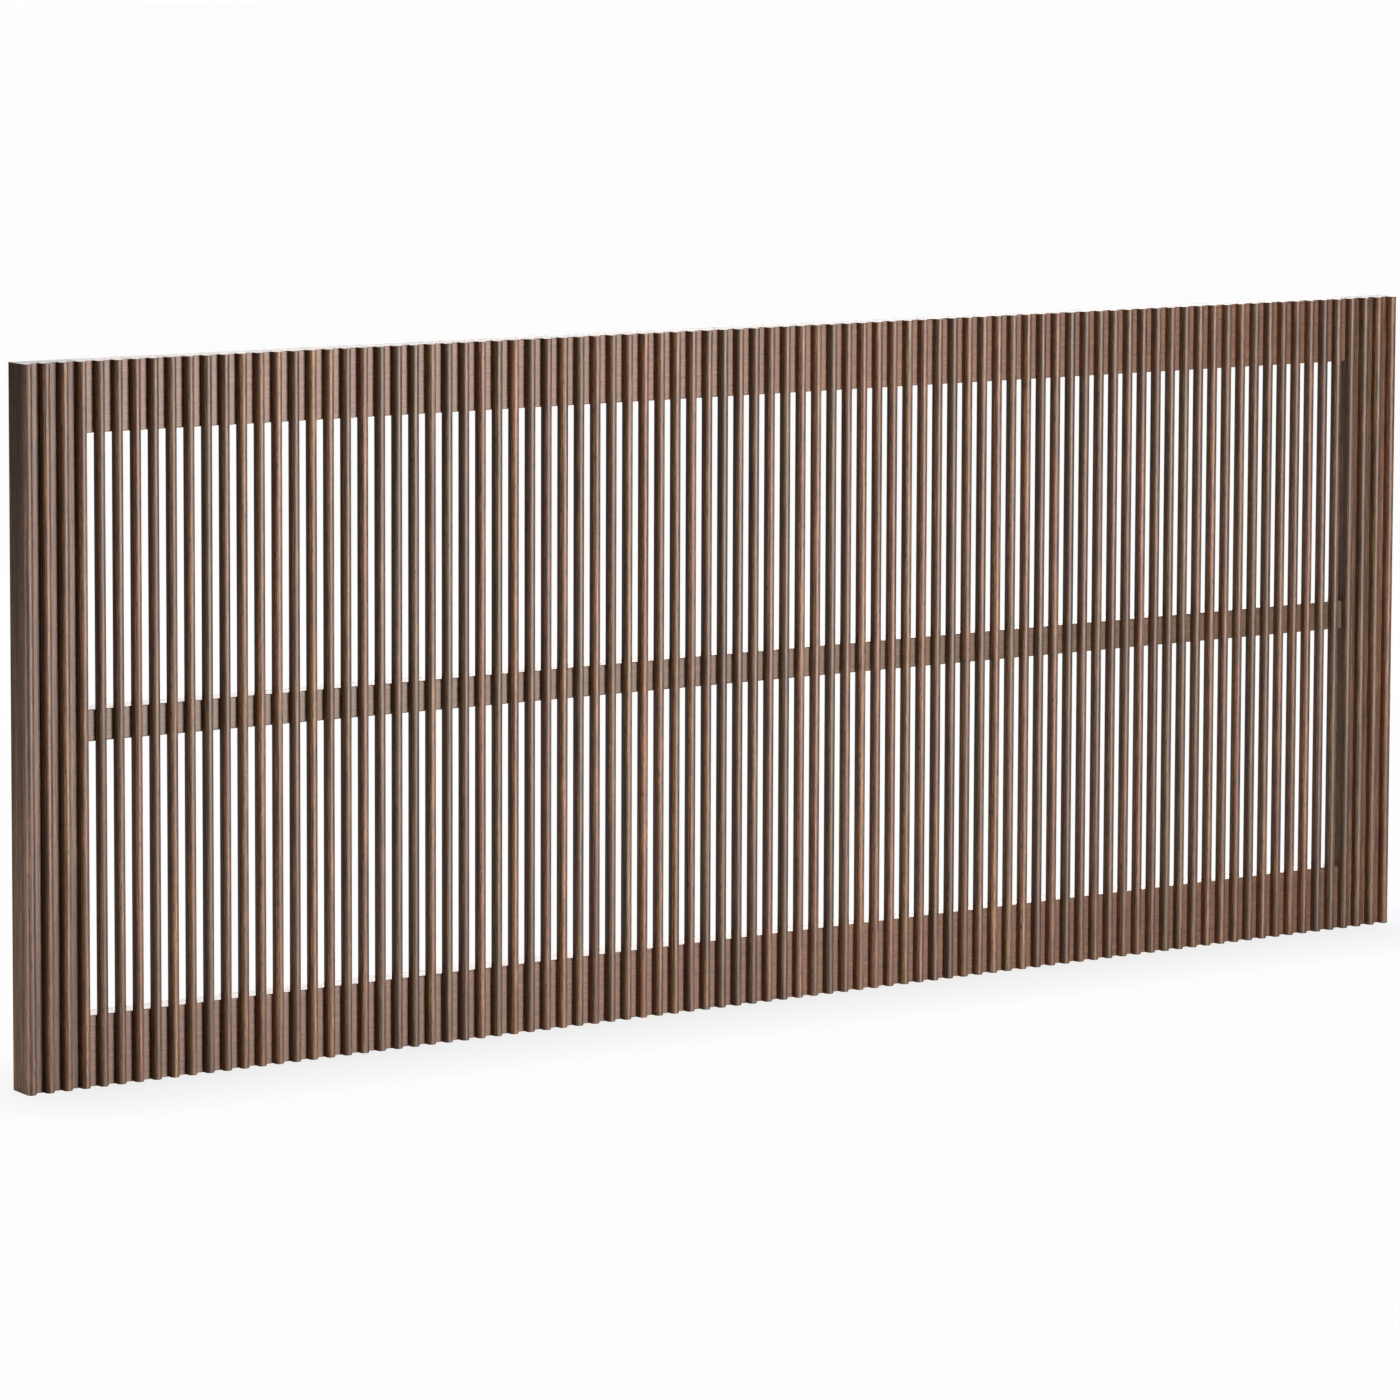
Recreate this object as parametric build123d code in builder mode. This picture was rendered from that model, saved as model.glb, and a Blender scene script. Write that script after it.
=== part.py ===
from build123d import *
import os

# A slatted headboard, in millimetres.
# Two stiles and three rails are dowelled into a flat frame. Round-nosed upright slats are
# glued to the front of it, side by side over the whole width. The innermost slat on each
# stile stands a little over its inner edge. Four threaded inserts in the back of the stiles
# take the bolts of bed struts or wall brackets.
# X runs along the width, the slats face -Y, and Z is up. The origin is the middle of the
# bottom of the whole panel.

os.makedirs("parts", exist_ok=True)

# Slats
slat_width = 10
slat_gap = 10
slat_depth = 9
slat_count = 88
slats_on_each_stile = 4
slats_in_a_group = 2
slat_end_chamfer = 0.5

# Frame
panel_height = 730
frame_thickness = 28
outer_rail_height = 72
middle_rail_height = 32
stile_setback = 3
back_edge_radius = 2
rail_edge_radius = 1

# Dowels, two at each rail end
dowel_radius = 4
dowel_length = 50
dowel_chamfer = 0.8
dowel_glue_room = 0.1
dowel_end_room = 1

# Threaded inserts, two in the back of each stile
insert_radius = 6
insert_bore_radius = 3.4
insert_length = 15
insert_lead = 1
insert_clearance = 0.1
insert_end_room = 3
insert_height = 150
insert_spacing = 400

# Sizes and places that follow
slat_pitch = slat_width + slat_gap
panel_width = slat_count * slat_pitch - slat_gap
panel_depth = frame_thickness + slat_depth
stile_width = slats_on_each_stile * slat_pitch - slat_gap - stile_setback
rail_length = panel_width - 2 * stile_width
back_y = panel_depth / 2
slat_front_y = -panel_depth / 2
frame_front_y = slat_front_y + slat_depth
frame_middle_y = (back_y + frame_front_y) / 2
slat_nose_radius = slat_width / 2
dowel_hole_radius = dowel_radius + dowel_glue_room
dowel_hole_depth = dowel_length / 2 + dowel_end_room
# Each rail's name, the height of its middle, and its own height
rails = [
    ("top_rail", panel_height - outer_rail_height / 2, outer_rail_height),
    ("middle_rail", panel_height / 2, middle_rail_height),
    ("bottom_rail", outer_rail_height / 2, outer_rail_height),
]
sides = [("left", -1), ("right", 1)]

# The back face, with its normal pointing into the timber, X to the right and Z up
back_plane = Plane.XZ.offset(-back_y)


def dowel_circles(side, middle_z, height, radius):
    """Draw the two dowels of one rail end, a quarter of the rail above and below its middle."""
    with BuildSketch(Plane.YZ.offset(side * rail_length / 2)) as circles:
        for dowel_z in (middle_z - height / 4, middle_z + height / 4):
            with Locations((frame_middle_y, dowel_z)):
                Circle(radius)
    return circles.sketch


def drill_for_dowels(side, middle_z, height):
    """Drill both pieces of a rail joint, so that each takes half of the dowel."""
    circles = dowel_circles(side, middle_z, height, dowel_hole_radius)
    extrude(circles, amount=dowel_hole_depth, both=True, mode=Mode.SUBTRACT)


def insert_places(side):
    """Give the places of a stile's two inserts on the back face, in its middle."""
    middle_x = side * (panel_width - stile_width) / 2
    return [(middle_x, insert_height), (middle_x, insert_height + insert_spacing)]


def slat_outline(middle_x):
    """Draw one slat from above: a flat back, short straight sides and a half-round nose."""
    nose_y = slat_front_y + slat_nose_radius
    left_x = middle_x - slat_width / 2
    right_x = middle_x + slat_width / 2
    with BuildLine() as outline:
        body = Polyline(
            (right_x, nose_y), (right_x, frame_front_y), (left_x, frame_front_y), (left_x, nose_y)
        )
        ThreePointArc(body @ 1, (middle_x, slat_front_y), body @ 0)
    return outline.edges()


# Stiles, the full height of the panel, bored for the dowels and the inserts
for side_name, side in sides:
    with BuildPart() as stile:
        with BuildSketch(Plane.XY):
            with Locations((side * (panel_width - stile_width) / 2, frame_middle_y)):
                Rectangle(stile_width, frame_thickness)
        extrude(amount=panel_height)
        back_edges = stile.faces().sort_by(Axis.Y)[-1].edges().sort_by(Axis.X)
        inner_edge = back_edges[-1] if side < 0 else back_edges[0]
        fillet([edge for edge in back_edges if edge != inner_edge], back_edge_radius)
        for rail_name, middle_z, height in rails:
            drill_for_dowels(side, middle_z, height)
        with BuildSketch(back_plane):
            with Locations(*insert_places(side)):
                Circle(insert_radius + insert_clearance)
        extrude(amount=insert_length + insert_end_room, mode=Mode.SUBTRACT)
    stile.part.label = side_name + "_stile"
    export_step(stile.part, "parts/" + stile.part.label + ".step")

# Rails, butted between the stiles and bored at both ends
for rail_name, middle_z, height in rails:
    with BuildPart() as rail:
        with BuildSketch(Plane.XY.offset(middle_z - height / 2)):
            with Locations((0, frame_middle_y)):
                Rectangle(rail_length, frame_thickness)
        extrude(amount=height)
        long_edges = rail.edges().filter_by(Axis.X)
        inside_edges = [edge for edge in long_edges if 0 < round(edge.center().Z, 3) < panel_height]
        outside_edges = [edge for edge in long_edges if edge not in inside_edges]
        fillet(inside_edges, rail_edge_radius)
        if outside_edges:
            fillet(ShapeList(outside_edges).sort_by(Axis.Y)[-1], back_edge_radius)
        for side_name, side in sides:
            drill_for_dowels(side, middle_z, height)
    rail.part.label = rail_name
    export_step(rail.part, "parts/" + rail.part.label + ".step")

# Beech dowels, half in the rail and half in the stile, in one group for each rail
for rail_name, middle_z, height in rails:
    with BuildPart() as dowels:
        for side_name, side in sides:
            circles = dowel_circles(side, middle_z, height, dowel_radius)
            extrude(circles, amount=dowel_length / 2, both=True)
        chamfer(dowels.edges().filter_by(GeomType.CIRCLE), dowel_chamfer)
    dowels.part.label = rail_name + "_dowels"
    export_step(dowels.part, "parts/" + dowels.part.label + ".step")

# Slats, each a separate piece, in groups of neighbours
for first in range(0, slat_count, slats_in_a_group):
    last = min(first + slats_in_a_group, slat_count) - 1
    with BuildPart() as slats:
        with BuildSketch(Plane.XY):
            for number in range(first, last + 1):
                make_face(slat_outline((slat_width - panel_width) / 2 + number * slat_pitch))
        extrude(amount=panel_height)
        end_edges = slats.faces().filter_by(Axis.Z).edges()
        free_edges = end_edges.filter_by(lambda edge: edge.center().Y < frame_front_y - slat_end_chamfer)
        chamfer(free_edges, slat_end_chamfer)
    slats.part.label = f"slats_{first + 1:02d}_{last + 1:02d}"
    export_step(slats.part, "parts/" + slats.part.label + ".step")

# Inserts, sleeves flush with the back of the stiles, with a lead at their inner end
with BuildPart() as threaded_inserts:
    with BuildSketch(back_plane):
        for side_name, side in sides:
            with Locations(*insert_places(side)):
                Circle(insert_radius)
                Circle(insert_bore_radius, mode=Mode.SUBTRACT)
    extrude(amount=insert_length)
    inner_ends = threaded_inserts.faces().filter_by(Axis.Y).group_by(Axis.Y)[0].edges()
    chamfer(inner_ends.filter_by(lambda edge: edge.radius > insert_bore_radius), insert_lead)
threaded_inserts.part.label = "threaded_inserts"
export_step(threaded_inserts.part, "parts/threaded_inserts.step")

print("panel", panel_width, "wide,", panel_depth, "deep and", panel_height, "high")
print("insert places on the back face at y", back_y, "are", insert_places(-1), "and", insert_places(1))
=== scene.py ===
# %% [markdown]
# # A slatted timber headboard
# The real thing is a flat frame of two stiles and three rails, with 88 thin round-nosed
# slats glued upright to its front. All the timber that shows is stained walnut brown and
# sealed with a thin matt lacquer. The frame comes from the CAD model and keeps its shape
# here. This script makes the slats again with smooth noses, gives every piece its timber or
# metal, and sets the floor, the light and the camera.

# %% Load the frame
import math

import bmesh
import bpy
from mathutils import Matrix, Vector


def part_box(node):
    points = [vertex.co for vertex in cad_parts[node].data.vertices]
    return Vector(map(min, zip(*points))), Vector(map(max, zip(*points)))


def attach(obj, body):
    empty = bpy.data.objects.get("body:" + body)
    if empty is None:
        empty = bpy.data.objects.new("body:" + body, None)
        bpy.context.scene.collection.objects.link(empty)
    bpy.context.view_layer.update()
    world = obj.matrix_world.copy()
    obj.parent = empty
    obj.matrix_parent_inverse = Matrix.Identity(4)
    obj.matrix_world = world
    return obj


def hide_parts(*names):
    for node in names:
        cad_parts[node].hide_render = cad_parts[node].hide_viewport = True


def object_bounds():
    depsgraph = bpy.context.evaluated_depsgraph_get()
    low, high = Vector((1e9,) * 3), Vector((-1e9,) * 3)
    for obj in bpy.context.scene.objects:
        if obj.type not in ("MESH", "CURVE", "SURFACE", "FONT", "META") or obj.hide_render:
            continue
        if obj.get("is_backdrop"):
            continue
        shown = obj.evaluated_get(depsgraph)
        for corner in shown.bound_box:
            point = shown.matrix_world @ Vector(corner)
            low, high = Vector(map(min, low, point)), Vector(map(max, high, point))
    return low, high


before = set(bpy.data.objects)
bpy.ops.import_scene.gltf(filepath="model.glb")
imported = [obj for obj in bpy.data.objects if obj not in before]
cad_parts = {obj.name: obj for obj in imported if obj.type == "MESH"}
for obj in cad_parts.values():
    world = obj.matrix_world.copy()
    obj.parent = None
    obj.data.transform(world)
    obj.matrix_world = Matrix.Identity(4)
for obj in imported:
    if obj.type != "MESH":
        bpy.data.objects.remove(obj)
cad_low, cad_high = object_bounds()
MM = 0.001
print("the panel is", [round((high - low) / MM) for low, high in zip(cad_low, cad_high)], "mm")

# %% [markdown]
# ## Colours
# A colour is easiest to choose and to read as the hex value that a screen shows. A shader
# calculates with linear light, in which a mid grey is only about a fifth of white, so every
# hex value passes through one function. Its numbers are those of the sRGB standard.

# %% Colours


def linear(hex_colour):
    """Turn an sRGB hex colour into the linear RGBA that a shader socket takes."""
    channels = [int(hex_colour[place:place + 2], 16) / 255 for place in (1, 3, 5)]
    bright = [c / 12.92 if c <= 0.04045 else ((c + 0.055) / 1.055) ** 2.4 for c in channels]
    return (*bright, 1.0)


print("mid grey is", round(linear("#808080")[0], 3), "of white")

# %% [markdown]
# ## Nodes
# A material is a chain of nodes. Written out with Blender's own calls, each node takes
# several lines. One function that adds a node with its settings and its links keeps a
# material readable as a list of steps. The inputs of a Math node share one name, so they
# are counted from 0. A Mix node has sockets of one name for each kind of data, so those
# that take or give a colour have their numbers here.

# %% Nodes
COLOUR_A = 6
COLOUR_B = 7
MIXED_COLOUR = 2


def add(tree, kind, settings=None, links=None):
    """Add a node with its settings, which may be a ramp's stops, and link its sockets."""
    made = tree.nodes.new(kind)
    for name, value in (settings or {}).items():
        if name == "stops":
            while len(made.color_ramp.elements) < len(value):
                made.color_ramp.elements.new(1.0)
            for stop, (place, colour) in zip(made.color_ramp.elements, value):
                stop.position = place
                stop.color = linear(colour)
        elif isinstance(name, str) and hasattr(made, name):
            setattr(made, name, value)
        else:
            made.inputs[name].default_value = value
    for socket, source in (links or {}).items():
        tree.links.new(source, made.inputs[socket])
    return made


def new_material(name):
    """Make an empty node material, and return it with its tree."""
    material = bpy.data.materials.new(name)
    material.use_nodes = True
    material.node_tree.nodes.clear()
    return material, material.node_tree


print("a Mix node takes its colours at sockets", COLOUR_A, "and", COLOUR_B)

# %% [markdown]
# ## The grain of the timber
# The slats and the frame are an open-grained timber such as ash. Planing it lays three
# markings bare: long streaks where the growth rings meet the surface, fine fibres, and
# short open pores. A photograph of wood could show them, but it repeats and it brings
# its own light with it. Noise doesn't repeat, so each marking here is noise drawn out along
# the grain, with its width and length in real millimetres.

# %% Sizes of the markings
STREAK_WIDTH = 2.2 * MM
STREAK_LENGTH = 260 * MM
FIBRE_WIDTH = 0.9 * MM
FIBRE_LENGTH = 38 * MM
PORE_WIDTH = 0.6 * MM
PORE_LENGTH = 9 * MM


def drawn_out(tree, place, width, length, along, settings):
    """Make noise whose marks have a real width, and a real length along one axis."""
    sizes = [width, width, width]
    sizes["XYZ".index(along)] = length
    scaled = add(tree, "ShaderNodeVectorMath", {"operation": "DIVIDE", 1: sizes}, {0: place})
    noise = add(tree, "ShaderNodeTexNoise", {"Scale": 1.0, **settings},
                {"Vector": scaled.outputs[0]})
    return noise.outputs["Fac"]


print("a streak is", round(STREAK_LENGTH / STREAK_WIDTH), "times as long as wide")

# %% [markdown]
# ## One number for each piece
# Neighbouring slats were cut from different boards, so each has its own tone and its own
# stretch of grain. That could be 88 materials. One is enough, because the slats stand at
# even steps: the step that a point falls in counts the pieces, and white noise turns that
# count into a random colour and value that are the same in every render. The stiles are
# counted across the panel too, and the rails upwards.

# %% A number for each piece
GRAIN_JUMP = 7.0


def chance_of_piece(tree, place, counted_on, step):
    """Give white noise that changes from piece to piece and is even over each of them."""
    axes = add(tree, "ShaderNodeSeparateXYZ", None, {"Vector": place})
    steps = add(tree, "ShaderNodeMath", {"operation": "DIVIDE", 1: step},
                {0: axes.outputs[counted_on]})
    count = add(tree, "ShaderNodeMath", {"operation": "FLOOR"}, {0: steps.outputs[0]})
    return add(tree, "ShaderNodeTexWhiteNoise", {"noise_dimensions": "1D"},
               {"W": count.outputs[0]})


def own_stretch(tree, place, chance):
    """Move a place by a piece's own random jump, to another stretch of grain."""
    jump = add(tree, "ShaderNodeVectorMath", {"operation": "SCALE", "Scale": GRAIN_JUMP},
               {0: chance.outputs["Color"]})
    moved = add(tree, "ShaderNodeVectorMath", {"operation": "ADD"},
                {0: place, 1: jump.outputs[0]})
    return moved.outputs[0]


print("a piece takes its grain from up to", GRAIN_JUMP, "m away")

# %% [markdown]
# ## The stain
# Stain sinks into open grain and leaves dense grain paler. A colour ramp from dark to light
# brown over the markings does that. Each piece gets a slight tint and a tone of its own, and
# the pores, which drink more stain, are darker than the timber between them.

# %% The stain
BROWNS = [(0.37, "#311c10"), (0.455, "#5b3c25"), (0.545, "#7b5637"), (0.64, "#a17954")]
PORE_STAIN = "#33261f"
TINT_SHARE = 0.18
PALEST_PIECE = 1.35
DARKEST_PIECE = 0.85


def stained_colour(tree, grain, between_pores, chance):
    """Colour the grain, tint and tone it for each piece, and darken its pores."""
    brown = add(tree, "ShaderNodeValToRGB", {"stops": BROWNS}, {"Fac": grain})
    tint = add(tree, "ShaderNodeMix",
               {"data_type": "RGBA", "Factor": TINT_SHARE, COLOUR_A: linear("#ffffff")},
               {COLOUR_B: chance.outputs["Color"]})
    tinted = add(tree, "ShaderNodeMix",
                 {"data_type": "RGBA", "blend_type": "MULTIPLY", "Factor": 1.0},
                 {COLOUR_A: brown.outputs["Color"], COLOUR_B: tint.outputs[MIXED_COLOUR]})
    tone = add(tree, "ShaderNodeMapRange", {"To Min": DARKEST_PIECE, "To Max": PALEST_PIECE},
               {"Value": chance.outputs["Value"]})
    toned = add(tree, "ShaderNodeVectorMath", {"operation": "SCALE"},
                {0: tinted.outputs[MIXED_COLOUR], "Scale": tone.outputs[0]})
    pored = add(tree, "ShaderNodeMix", {"data_type": "RGBA", COLOUR_A: linear(PORE_STAIN)},
                {"Factor": between_pores, COLOUR_B: toned.outputs[0]})
    return pored.outputs[MIXED_COLOUR]


print("the palest piece is", round(PALEST_PIECE / DARKEST_PIECE, 2), "times the darkest")

# %% [markdown]
# ## Cut ends
# The cut ends of a board drink the most stain, because the pores are open there. They could
# be painted face by face. A shader can find them, since they are the faces that look along
# the grain, and it can let the dark fade over an eased edge.

# %% Cut ends
CUT_END_STAIN = "#33241c"
CUT_END_STARTS = 0.75
CUT_END_FULL = 0.95


def darker_cut_ends(tree, colour, along):
    """Darken the faces that look along the grain, which are the cut ends."""
    normal = add(tree, "ShaderNodeTexCoord").outputs["Normal"]
    facing = add(tree, "ShaderNodeSeparateXYZ", None, {"Vector": normal})
    end_on = add(tree, "ShaderNodeMath", {"operation": "ABSOLUTE"}, {0: facing.outputs[along]})
    cut_end = add(tree, "ShaderNodeMapRange",
                  {"From Min": CUT_END_STARTS, "From Max": CUT_END_FULL},
                  {"Value": end_on.outputs[0]})
    ended = add(tree, "ShaderNodeMix", {"data_type": "RGBA", COLOUR_B: linear(CUT_END_STAIN)},
                {"Factor": cut_end.outputs[0], COLOUR_A: colour})
    return ended.outputs[MIXED_COLOUR]


print("an end is fully dark within", round(math.degrees(math.acos(CUT_END_FULL))), "degrees")

# %% [markdown]
# ## The lacquer
# The lacquer over the stain is thin and matt. It gives a wide soft sheen, which is a coat on
# the shader, and it doesn't level the pores, which stay small hollows. The sheen is duller
# where the stain is dark. One function puts the markings, the stain and the lacquer
# together. Its evenness pulls the markings towards a middle brown, as in a plainer board.

# %% Stained and lacquered timber
FIBRE_SHARE = 0.45
MIDDLE_GRAIN = 0.5
IN_A_PORE = 0.34
OUT_OF_PORES = 0.44
PORE_DEPTH = 0.05 * MM
FIBRE_RELIEF = 0.5
RELIEF_STRENGTH = 0.3
DARK_ROUGHNESS = 0.58
PALE_ROUGHNESS = 0.46
COAT_ROUGHNESS = 0.50
SHEEN_TINT = "#ffeeea"
WOOD_IOR = 1.5
LACQUER_IOR = 1.5


def stained_timber(name, along, counted_on, step, lacquer, sheen, evenness=0.0):
    """Make the timber, with its grain along one axis and its pieces counted along another."""
    material, tree = new_material(name)
    place = add(tree, "ShaderNodeTexCoord").outputs["Object"]
    chance = chance_of_piece(tree, place, counted_on, step)
    own = own_stretch(tree, place, chance)
    streaks = drawn_out(tree, own, STREAK_WIDTH, STREAK_LENGTH, along,
                        {"Detail": 3.0, "Roughness": 0.6, "Distortion": 0.4})
    fibres = drawn_out(tree, own, FIBRE_WIDTH, FIBRE_LENGTH, along, {"Detail": 2.0})
    pores = drawn_out(tree, own, PORE_WIDTH, PORE_LENGTH, along, {"Detail": 1.0})
    marked = add(tree, "ShaderNodeMix", {"Factor": FIBRE_SHARE}, {"A": streaks, "B": fibres})
    grain = add(tree, "ShaderNodeMix", {"Factor": evenness, "B": MIDDLE_GRAIN},
                {"A": marked.outputs[0]}).outputs[0]
    between_pores = add(tree, "ShaderNodeMapRange",
                        {"From Min": IN_A_PORE, "From Max": OUT_OF_PORES, "To Min": evenness},
                        {"Value": pores}).outputs[0]
    stained = stained_colour(tree, grain, between_pores, chance)
    colour = darker_cut_ends(tree, stained, along)

    # The timber stands higher between the pores, and along the fibres
    relief = add(tree, "ShaderNodeMix", {"Factor": FIBRE_RELIEF},
                 {"A": between_pores, "B": fibres})
    bump = add(tree, "ShaderNodeBump", {"Strength": RELIEF_STRENGTH, "Distance": PORE_DEPTH},
               {"Height": relief.outputs[0]})
    dull = add(tree, "ShaderNodeMapRange",
               {"To Min": DARK_ROUGHNESS, "To Max": PALE_ROUGHNESS}, {"Value": grain})
    shader = add(tree, "ShaderNodeBsdfPrincipled",
                 {"IOR": WOOD_IOR, "Specular IOR Level": sheen,
                  "Specular Tint": linear(SHEEN_TINT), "Coat Weight": lacquer,
                  "Coat Roughness": COAT_ROUGHNESS, "Coat IOR": LACQUER_IOR},
                 {"Base Color": colour, "Roughness": dull.outputs[0],
                  "Normal": bump.outputs[0]})
    add(tree, "ShaderNodeOutputMaterial", None, {"Surface": shader.outputs[0]})
    return material


print("a pore is", round(PORE_DEPTH / MM, 2), "mm deep")

# %% [markdown]
# ## Three timbers from one recipe
# The grain runs upwards in the slats and stiles, and across in the rails, so the recipe is
# used three times. A step of one metre parts the two stiles, and a quarter of a metre parts
# the three rails. The rails are cut from plainer boards, so their markings are evened out.
# Sprayed lacquer lies thinner on the frame, since little of it reaches in between the
# slats, and the stiles are the most matt.

# %% The three timbers
SLAT_PITCH = 20 * MM
STILE_STEP = 1.0
RAIL_STEP = 0.25
SLAT_LACQUER = 0.5
RAIL_LACQUER = 0.35
STILE_LACQUER = 0.1
SHEEN = 0.85
STILE_SHEEN = 0.75
RAIL_EVENNESS = 0.55

slat_timber = stained_timber("stained_ash_slats", along="Z", counted_on="X", step=SLAT_PITCH,
                             lacquer=SLAT_LACQUER, sheen=SHEEN)
stile_timber = stained_timber("stained_ash_stiles", along="Z", counted_on="X", step=STILE_STEP,
                              lacquer=STILE_LACQUER, sheen=STILE_SHEEN)
rail_timber = stained_timber("stained_ash_rails", along="X", counted_on="Z", step=RAIL_STEP,
                             lacquer=RAIL_LACQUER, sheen=SHEEN, evenness=RAIL_EVENNESS)
print("made", slat_timber.name, stile_timber.name, "and", rail_timber.name)

# %% [markdown]
# ## The shape of a slat
# Each real slat is a strip 10 mm wide, planed to a half-round nose, with a flat back that is
# glued to the frame. It could be an outline drawn point by point and extruded. A box is
# simpler: when its two front edges are bevelled by half its width, they meet in a half
# circle. The segments of the bevel say how fine the nose is, and ten to an edge are enough
# for a smooth one.

# %% The shape of a slat
SLAT_WIDTH = 10 * MM
LONGER_THAN_ENDS = 2 * SLAT_WIDTH
NOSE_FACETS = 10
MERGE_WITHIN = 0.001 * MM


def nosed_strip(low, high):
    """Make a strip between two corners, with a half-round nose towards -Y."""
    bm = bmesh.new()
    bmesh.ops.create_cube(bm, size=1.0)
    bmesh.ops.scale(bm, vec=high - low, verts=bm.verts)
    bmesh.ops.translate(bm, vec=(low + high) / 2, verts=bm.verts)
    middle_y = (low.y + high.y) / 2
    front_uprights = [edge for edge in bm.edges if edge.calc_length() > LONGER_THAN_ENDS
                      and all(corner.co.y < middle_y for corner in edge.verts)]
    bmesh.ops.bevel(bm, geom=front_uprights, offset=SLAT_WIDTH / 2, offset_type="OFFSET",
                    segments=NOSE_FACETS, profile=0.5, affect="EDGES", material=-1)
    bmesh.ops.remove_doubles(bm, verts=bm.verts, dist=MERGE_WITHIN)
    return bm


print("a nose is", 2 * NOSE_FACETS, "facets round")

# %% [markdown]
# ## Eased ends
# A real slat is cut to length and its sharp ends are sanded, which leaves a narrow rounding
# that catches the light. Bevelling every edge at the two ends by a fraction of a millimetre
# does the same. All the level edges of a strip are at its ends.

# %% Eased ends
EASED_EDGE = 0.4 * MM
EASED_FACETS = 2


def ease_ends(bm):
    """Round the edges of both cut ends a little."""
    ends = [edge for edge in bm.edges
            if abs(edge.verts[0].co.z - edge.verts[1].co.z) < MERGE_WITHIN]
    bmesh.ops.bevel(bm, geom=ends, offset=EASED_EDGE, offset_type="OFFSET",
                    segments=EASED_FACETS, profile=0.5, affect="EDGES", material=-1)


print("the ends are eased by", round(EASED_EDGE / MM, 2), "mm")

# %% [markdown]
# ## Smooth noses and crisp ends
# The facets of a nose meet at 9 degrees, and the eased ends at 22 or more. Smooth shading
# everywhere would bend the light along the whole slat, from the ends to the middle, because
# a slat has no points between its ends. So only edges that bend by less than 15 degrees are
# smoothed, and the nose shades as an even round.

# %% From bmesh to object
SMOOTH_BELOW = math.radians(15)


def finish_mesh(bm, name, material):
    """Turn a bmesh into a smooth-shaded object at the origin, riding on the one body."""
    bmesh.ops.remove_doubles(bm, verts=bm.verts, dist=MERGE_WITHIN)
    bmesh.ops.recalc_face_normals(bm, faces=bm.faces)
    for face in bm.faces:
        face.smooth = True
    mesh = bpy.data.meshes.new(name)
    bm.to_mesh(mesh)
    bm.free()
    mesh.set_sharp_from_angle(angle=SMOOTH_BELOW)
    mesh.materials.append(material)
    piece = bpy.data.objects.new(name, mesh)
    bpy.context.scene.collection.objects.link(piece)
    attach(piece, "root")
    return piece


print("edges under", round(math.degrees(SMOOTH_BELOW)), "degrees are smoothed")

# %% [markdown]
# ## The slats
# The CAD model holds the slats two to a node. Each node's box gives the places of its two
# slats, so the new ones stand exactly where the solids do. They are counted from the left.

# %% The slats
slats = []
for node in sorted(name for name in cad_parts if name.startswith("slats_")):
    low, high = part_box(node)
    for left in (low.x, high.x - SLAT_WIDTH):
        strip = nosed_strip(Vector((left, low.y, low.z)),
                            Vector((left + SLAT_WIDTH, high.y, high.z)))
        ease_ends(strip)
        slat = finish_mesh(strip, f"slat_{len(slats) + 1:02d}", slat_timber)
        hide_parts(node)
        slats.append(slat)
print("made", len(slats), "slats of", len(slats[0].data.polygons), "faces")

# %% [markdown]
# ## Beech for the dowels
# The dowels are turned from beech and left bare: pale, even, with short brown flecks along
# them. They are hidden in the joints, and show only when the joints are drawn open. The
# flecks are small noise drawn out five times along the dowel.

# %% Beech
BEECH_BROWNS = [(0.3, "#b98c5f"), (0.5, "#d8b384"), (0.8, "#e3c69d")]
FLECK_WIDTH = 0.5 * MM
FLECK_LENGTH = 5 * FLECK_WIDTH
BEECH_ROUGHNESS = 0.65


def turned_beech():
    """Make bare turned beech, pale and dull, with short brown flecks."""
    material, tree = new_material("turned_beech")
    place = add(tree, "ShaderNodeTexCoord").outputs["Object"]
    flecks = drawn_out(tree, place, FLECK_WIDTH, FLECK_LENGTH, "X", {"Detail": 2.0})
    colour = add(tree, "ShaderNodeValToRGB", {"stops": BEECH_BROWNS}, {"Fac": flecks})
    shader = add(tree, "ShaderNodeBsdfPrincipled",
                 {"Roughness": BEECH_ROUGHNESS, "IOR": WOOD_IOR},
                 {"Base Color": colour.outputs[0]})
    add(tree, "ShaderNodeOutputMaterial", None, {"Surface": shader.outputs[0]})
    return material


beech = turned_beech()
print("made", beech.name)

# %% [markdown]
# ## Zinc-plated steel for the inserts
# The threaded inserts are turned steel with a zinc coat: bright, slightly blue, and mottled
# where the coat is thicker. One patch of mottle is about 3 mm wide, and the brighter
# patches are also the duller ones.

# %% Zinc-plated steel
ZINC_GREYS = [(0.3, "#a9adb0"), (0.7, "#cfd2d3")]
ZINC_MOTTLE = 3 * MM
GREY_ROUGHNESS = 0.25
BRIGHT_ROUGHNESS = 0.42


def zinc_plated_steel():
    """Make zinc-plated turned steel, a bright metal with a mottled coat."""
    material, tree = new_material("zinc_plated_steel")
    place = add(tree, "ShaderNodeTexCoord").outputs["Object"]
    mottle = drawn_out(tree, place, ZINC_MOTTLE, ZINC_MOTTLE, "Y", {"Detail": 4.0})
    colour = add(tree, "ShaderNodeValToRGB", {"stops": ZINC_GREYS}, {"Fac": mottle})
    dull = add(tree, "ShaderNodeMapRange",
               {"To Min": GREY_ROUGHNESS, "To Max": BRIGHT_ROUGHNESS}, {"Value": mottle})
    shader = add(tree, "ShaderNodeBsdfPrincipled", {"Metallic": 1.0},
                 {"Base Color": colour.outputs[0], "Roughness": dull.outputs[0]})
    add(tree, "ShaderNodeOutputMaterial", None, {"Surface": shader.outputs[0]})
    return material


zinc = zinc_plated_steel()
print("made", zinc.name)

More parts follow.
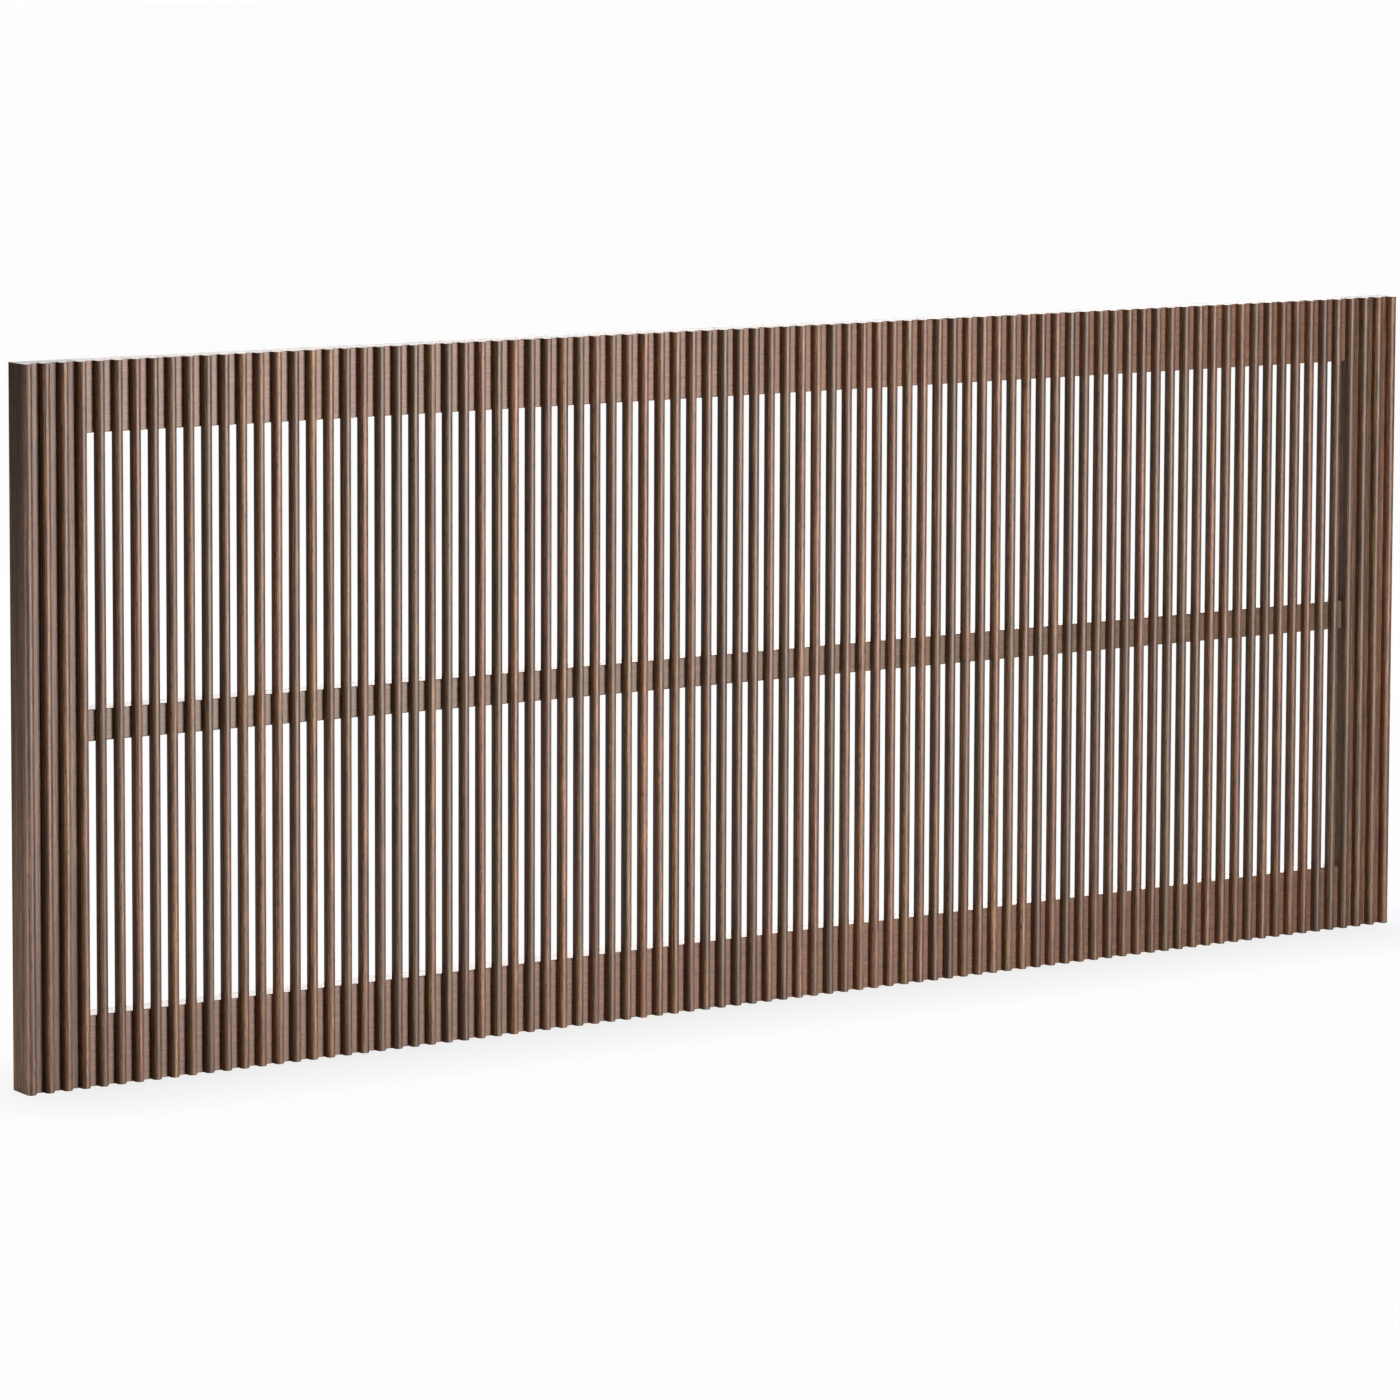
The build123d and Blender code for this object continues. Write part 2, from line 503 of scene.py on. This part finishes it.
# %% [markdown]
# ## Frame, dowels and inserts
# These keep their CAD shape, because flat boards and turned pins are as good there as they
# would be here. They only get their materials.

# %% Dress the CAD pieces
finishes = {"left_stile": stile_timber, "right_stile": stile_timber, "threaded_inserts": zinc}
for rail in ("top_rail", "middle_rail", "bottom_rail"):
    finishes[rail] = rail_timber
    finishes[rail + "_dowels"] = beech
for node, material in finishes.items():
    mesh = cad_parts[node].data
    mesh.materials.clear()
    mesh.materials.append(material)
print("dressed", len(finishes), "of", len(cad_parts), "CAD nodes, the others are slats")

# %% [markdown]
# ## What the camera sees as white
# The photograph was taken in a white studio, and its background is pure white. Lighting a
# backdrop that much would flood the object. Light Path tells the camera's own rays from the
# light that bounces about, so the background can be white to the camera alone. Reflections
# get a small share of it, because the studio was dim behind the camera, and a full share
# would turn the dark sides of the lacquered slats grey.

# %% Seen directly
GLOSSY_SHARE = 0.04


def seen_directly(tree):
    """Give 1 for what the camera sees, also through glass, a share in a reflection, else 0."""
    ray = add(tree, "ShaderNodeLightPath")
    mirrored = add(tree, "ShaderNodeMath", {"operation": "MULTIPLY", 1: GLOSSY_SHARE},
                   {0: ray.outputs["Is Glossy Ray"]})
    either = add(tree, "ShaderNodeMath", {"operation": "MAXIMUM"},
                 {0: ray.outputs["Is Camera Ray"], 1: mirrored.outputs[0]})
    seen = add(tree, "ShaderNodeMath", {"operation": "MAXIMUM"},
               {0: either.outputs[0], 1: ray.outputs["Is Transmission Ray"]})
    return seen.outputs[0]


print("a reflection gets", GLOSSY_SHARE, "of the white")

# %% [markdown]
# ## The floor's paint
# The floor is pale matt paint that takes the object's shadow. Mixed into it is a plain white
# that the camera alone sees. It is strongest far away, and weaker close to the panel, which
# paints a grey shade there on top of the real soft shadow that the paint shows. How far a
# point is from the panel's foot is measured from a line that runs along it, and is shorter
# than the panel because the shadow fades at the ends.

# %% The floor's paint
FLOOR_PAINT = "#c6c6c6"
WHITE_AT_FOOT = 0.81
WHITE_FAR_AWAY = 0.98
FADE_REACH = 180 * MM
SHADOW_HALF_LENGTH = 800 * MM


def distance_from_foot(tree):
    """Measure how far a point of the floor is from the line under the panel."""
    place = add(tree, "ShaderNodeTexCoord").outputs["Object"]
    axes = add(tree, "ShaderNodeSeparateXYZ", None, {"Vector": place})
    sideways = add(tree, "ShaderNodeMath", {"operation": "ABSOLUTE"}, {0: axes.outputs["X"]})
    beyond = add(tree, "ShaderNodeMath", {"operation": "SUBTRACT", 1: SHADOW_HALF_LENGTH},
                 {0: sideways.outputs[0]})
    past_end = add(tree, "ShaderNodeMath", {"operation": "MAXIMUM", 1: 0.0},
                   {0: beyond.outputs[0]})
    away = add(tree, "ShaderNodeCombineXYZ", None,
               {"X": past_end.outputs[0], "Y": axes.outputs["Y"]})
    distance = add(tree, "ShaderNodeVectorMath", {"operation": "LENGTH"}, {0: away.outputs[0]})
    return distance.outputs["Value"]


floor_material, floor_tree = new_material("white_studio_floor")
painted = add(floor_tree, "ShaderNodeBsdfDiffuse", {"Color": linear(FLOOR_PAINT)})
white = add(floor_tree, "ShaderNodeEmission", {"Color": linear("#ffffff"), "Strength": 1.0})
# Less white near the foot paints a grey shade there, over the real shadow that the paint takes
painted_shade_fade = add(floor_tree, "ShaderNodeMapRange",
                {"From Max": FADE_REACH, "To Min": WHITE_AT_FOOT, "To Max": WHITE_FAR_AWAY},
                {"Value": distance_from_foot(floor_tree)})
share = add(floor_tree, "ShaderNodeMath", {"operation": "MULTIPLY"},
            {0: seen_directly(floor_tree), 1: painted_shade_fade.outputs[0]})
mixed = add(floor_tree, "ShaderNodeMixShader", None,
            {0: share.outputs[0], 1: painted.outputs[0], 2: white.outputs[0]})
add(floor_tree, "ShaderNodeOutputMaterial", None, {"Surface": mixed.outputs[0]})
print("the floor turns white within", round(FADE_REACH / MM), "mm of the panel")

# %% [markdown]
# ## The floor
# A studio floor reaches past everything that the camera sees. One flat face does, wide
# enough that its far edge lies near the horizon, where it meets the white world unseen.

# %% The floor
FLOOR_HALF = 40.0

bm = bmesh.new()
bmesh.ops.create_grid(bm, x_segments=1, y_segments=1, size=FLOOR_HALF)
bmesh.ops.translate(bm, vec=(0, 0, cad_low.z), verts=bm.verts)
floor_mesh = bpy.data.meshes.new("floor")
bm.to_mesh(floor_mesh)
bm.free()
floor_mesh.materials.append(floor_material)
floor = bpy.data.objects.new("floor", floor_mesh)
bpy.context.scene.collection.objects.link(floor)
floor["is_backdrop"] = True
print("the floor is", 2 * FLOOR_HALF, "m across")

# %% [markdown]
# ## The air of the studio
# The world is white to the camera, for the same reason as the floor. To the object it is a
# very faint even light, just enough that the deepest gaps aren't black.

# %% The air of the studio
WORLD_FILL = 0.03

world = bpy.data.worlds.new("white_studio")
world.use_nodes = True
world.node_tree.nodes.clear()
level = add(world.node_tree, "ShaderNodeMapRange", {"To Min": WORLD_FILL, "To Max": 1.0},
            {"Value": seen_directly(world.node_tree)})
air = add(world.node_tree, "ShaderNodeBackground", {"Color": linear("#ffffff")},
          {"Strength": level.outputs[0]})
add(world.node_tree, "ShaderNodeOutputWorld", None, {"Surface": air.outputs[0]})
bpy.context.scene.world = world
print("the air lights the object at", WORLD_FILL, "of white")

# %% [markdown]
# ## A soft box
# Studio lamps are soft boxes: a lamp behind a rectangle of cloth, often with a grid that
# narrows the beam. An area lamp is the same thing. Its size sets how soft the shadows are,
# and its spread is the grid. Without a grid, a lamp opens to half a turn.

# %% A soft box
OPEN_BEAM = 180


def soft_box(name, place, aim, width, height, watts, beam=OPEN_BEAM):
    """Hang a rectangular soft lamp. The beam is the whole angle that its light opens to."""
    data = bpy.data.lights.new(name, "AREA")
    data.shape = "RECTANGLE"
    data.size = width
    data.size_y = height
    data.energy = watts
    data.spread = math.radians(beam)
    lamp = bpy.data.objects.new(name, data)
    lamp.visible_camera = False
    bpy.context.scene.collection.objects.link(lamp)
    lamp.location = place
    to_aim = Vector(aim) - Vector(place)
    lamp.rotation_euler = to_aim.to_track_quat("-Z", "Y").to_euler()
    print(name, "is", round(to_aim.length, 2), "m away, at", watts, "W")


print("an open lamp has a beam of", OPEN_BEAM, "degrees")

# %% [markdown]
# ## The key lamp
# In the photograph the left side of each slat is dark and a band of light runs down its
# nose, from end to end and at one level. That takes a lamp at the slats' own height, in
# front and to the right. It rakes the slats at the far left, where it throws narrow shadows
# on the rails. Its beam is 97 degrees wide, about half of an open one, so that little of it
# strikes the floor in front.

# %% The key lamp
soft_box("key_lamp", place=(0.60, -3.15, 0.41), aim=(-0.33, 0, 0.37),
         width=1.3, height=0.74, watts=35.2, beam=97)

# %% [markdown]
# ## Top and back lamps
# A large lamp overhead, a little behind the panel, makes the soft shadow at its foot. The
# top edges look nearly white in the photograph: lacquer mirrors a white backdrop at such a
# flat angle. A large lamp behind the panel takes the backdrop's place. A white backdrop
# itself would also light the sides that have to stay dark.

# %% Top and back lamps
PANEL_MIDDLE = (0, 0, 0.365)

soft_box("top_lamp", place=(0.6, 1.2, 3.6), aim=PANEL_MIDDLE,
         width=3.0, height=2.0, watts=50.0)
soft_box("back_lamp", place=(1.95, 3.0, 1.1), aim=PANEL_MIDDLE,
         width=3.6, height=1.4, watts=135.0)

# %% [markdown]
# ## A small lamp for the left end
# The end face of the left stile is a warm brown that gets lighter towards the floor, which
# is light thrown up by a white floor beside it. A small weak lamp low on that side does it.

# %% A small lamp for the left end
soft_box("side_lamp", place=(-2.4, 0.1, 0.10), aim=(-0.875, 0, 0.05),
         width=0.5, height=0.2, watts=1.7, beam=60)

# %% [markdown]
# ## The camera
# The photograph was taken from the left, a little above the panel, with a long lens: the
# slats get only slightly closer together to the right. The camera looks down by 5 degrees,
# and its uprights still stand nearly upright, which takes a shift of the lens as well. The
# three directions of the camera are worked out from its turn, tilt and roll, which is
# easier to check against a photograph than three Euler angles.

# %% The camera's directions
CAMERA_TURN = math.radians(33.044)
CAMERA_TILT = math.radians(5.023)
CAMERA_ROLL = math.radians(0.206)

forward = Vector((math.sin(CAMERA_TURN) * math.cos(CAMERA_TILT),
                  math.cos(CAMERA_TURN) * math.cos(CAMERA_TILT), -math.sin(CAMERA_TILT)))
level_right = Vector((math.cos(CAMERA_TURN), -math.sin(CAMERA_TURN), 0))
level_up = level_right.cross(forward)
right = level_right * math.cos(CAMERA_ROLL) + level_up * math.sin(CAMERA_ROLL)
up = level_up * math.cos(CAMERA_ROLL) - level_right * math.sin(CAMERA_ROLL)
print("the camera looks along", [round(part, 3) for part in forward])

# %% [markdown]
# ## A long lens, shifted
# A lens of 144 mm on a 36 mm sensor sees only 14 degrees, and fills the picture with the
# panel from 6 m away. Looking down by 5 degrees, it aims above the panel's middle. The lens
# is shifted down by about a quarter of the picture's width, and that brings the whole panel
# in. Twice the shift would fit the photograph's uprights better, but it would crop the panel
# in views from other sides. The camera's turn is set as a matrix, and its columns are the
# camera's right, up and backward directions, because a Blender camera looks along its own
# -Z.

# %% Set up the camera
CAMERA_PLACE = Vector((-3.3164, -4.9888, 1.2162))
CAMERA_SENSOR = 36.0
CAMERA_LENS = 144.49
CAMERA_SHIFT = -0.24

camera_data = bpy.data.cameras.new("camera")
camera_data.sensor_width = CAMERA_SENSOR
camera_data.lens = CAMERA_LENS
camera_data.shift_y = CAMERA_SHIFT
camera = bpy.data.objects.new("camera", camera_data)
turned = Matrix((right, up, -forward)).transposed().to_4x4()
camera.matrix_world = Matrix.Translation(CAMERA_PLACE) @ turned
bpy.context.scene.collection.objects.link(camera)
bpy.context.scene.camera = camera
bpy.context.scene.view_settings.view_transform = "Standard"
print("the camera is", round(CAMERA_PLACE.length, 2), "m from the panel's foot")

# %% [markdown]
# ## Sizes, and the end
# The dressed panel must be as big as the CAD model. Its size is printed, as the CAD model's
# was at the start.

# %% Print the size and finish
model_low, model_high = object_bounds()
model_size = [round((high - low) / MM, 2) for low, high in zip(model_low, model_high)]
print("the dressed panel is", model_size, "mm")
